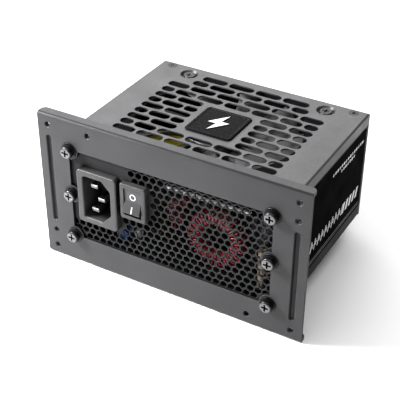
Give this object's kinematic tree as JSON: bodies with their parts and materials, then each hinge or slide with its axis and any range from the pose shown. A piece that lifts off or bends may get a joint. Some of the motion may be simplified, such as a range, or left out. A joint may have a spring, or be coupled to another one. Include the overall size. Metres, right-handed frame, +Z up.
{
  "type": "power supply unit",
  "caption": "Compact PC power supply with top fan, mains inlet, rocker switch and modular sockets, held in a full-size adapter bracket.",
  "frame": {"origin": "centre of the adapter bracket's plate, on its front face", "axes": "front (inlet side) faces -Y, +X to the right seen from the front, +Z up"},
  "size_m": [0.15, 0.1068, 0.086],
  "materials": {
    "bracket_paint": "satin powder coat",
    "case_paint": "satin powder coat",
    "cover_paint": "satin powder coat",
    "black_screw": "black zinc, worn in the recess",
    "black_washer": "black zinc",
    "spring_steel": "dark spring steel",
    "label_black": "matt printed foil",
    "label_rating": "matt printed foil",
    "fan_plastic": "moulded, slight gloss",
    "rotor_plastic": "glossy moulded",
    "bearing_bronze": "sintered",
    "lamination": "stacked sheet",
    "copper_wire": "enamelled",
    "magnet": "sintered ferrite",
    "shaft_steel": "ground",
    "badge_black": "gloss black",
    "emblem_metal": "satin metal inlay",
    "polyester": "white film",
    "inlet_plastic": "fine moulded grain",
    "blade_nickel": "nickel plated",
    "lead_black": "PVC insulation",
    "earth_sleeve": "green and yellow PVC",
    "switch_plastic": "fine moulded grain",
    "rocker_plastic": "smooth moulded",
    "contact_brass": "stamped",
    "board_green": "solder mask",
    "board_blue": "solder mask",
    "standoff_brass": "turned",
    "board_screw_zinc": "zinc plated",
    "insulation_film": "translucent film",
    "x_cap_case": "moulded box",
    "y_cap_blue": "dipped epoxy",
    "film_cap_beige": "dipped epoxy",
    "ferrite_black": "sintered ferrite",
    "core_blue": "epoxy coated ring",
    "red_wire": "red enamel",
    "rectifier_black": "moulded epoxy",
    "can_sleeve": "shrink sleeve",
    "heatsink_black": "extruded and black anodised",
    "transistor_black": "moulded epoxy",
    "tape_yellow": "polyester tape",
    "tape_black": "polyester tape",
    "output_can": "shrink sleeve",
    "socket_plastic": "moulded nylon",
    "pin_tin": "tin plated"
  },
  "bodies": {
    "case": {"adapter_bracket": "bracket_paint", "bracket_screws": "black_screw", "bracket_spring_washers": "spring_steel", "bracket_flat_washers": "black_washer", "base_shell": "case_paint", "front_panel": "case_paint", "rear_panel": "case_paint", "top_cover": "cover_paint", "cover_screws": "black_screw", "side_label_right": "label_black", "side_label_left": "label_black", "rating_label": "label_rating", "fan_frame": "fan_plastic", "fan_screws": "black_screw", "fan_bearing": "bearing_bronze", "fan_stator_core": "lamination", "fan_stator_coils": "copper_wire", "fan_badge": "badge_black", "badge_emblem": "emblem_metal", "air_deflector": "polyester", "fan_lead": "lead_black", "inlet_housing": "inlet_plastic", "inlet_pins": "blade_nickel", "inlet_leads": "lead_black", "earth_lead": "earth_sleeve", "switch_housing": "switch_plastic", "switch_terminals": "contact_brass", "main_board": "board_green", "board_standoffs": "standoff_brass", "board_screws": "board_screw_zinc", "insulation_sheet": "insulation_film", "control_board": "board_green", "x_capacitor": "x_cap_case", "y_capacitors": "y_cap_blue", "film_capacitor": "film_cap_beige", "filter_choke_core": "core_blue", "filter_choke_windings": "copper_wire", "bridge_rectifier": "rectifier_black", "pfc_choke_core": "core_blue", "pfc_choke_winding": "red_wire", "resonant_choke_core": "core_blue", "resonant_choke_winding": "red_wire", "bulk_capacitor": "can_sleeve", "primary_heatsink": "heatsink_black", "power_transistors": "transistor_black", "main_transformer_core": "ferrite_black", "main_transformer_winding": "tape_yellow", "standby_transformer": "tape_black", "secondary_heatsink": "heatsink_black", "output_capacitors": "output_can", "socket_board": "board_blue", "motherboard_sockets": "socket_plastic", "processor_sockets": "socket_plastic", "peripheral_sockets": "socket_plastic", "socket_pins": "pin_tin"},
    "fan": {"fan_rotor": "rotor_plastic", "fan_magnet_ring": "magnet", "fan_shaft": "shaft_steel"},
    "rocker": {"switch_rocker": "rocker_plastic", "switch_contact": "contact_brass"}
  },
  "joints": [
    {"name": "fan_spin", "type": "hinge", "parent": "case", "child": "fan", "pos_m": [0, 0.0515, 0.0235], "axis": [0, 0, 1], "continuous": true},
    {"name": "rocker", "type": "hinge", "parent": "case", "child": "rocker", "pos_m": [-0.0186, 0.0032, 0.0075], "axis": [1, 0, 0], "range_deg": [0, 20]}
  ]
}
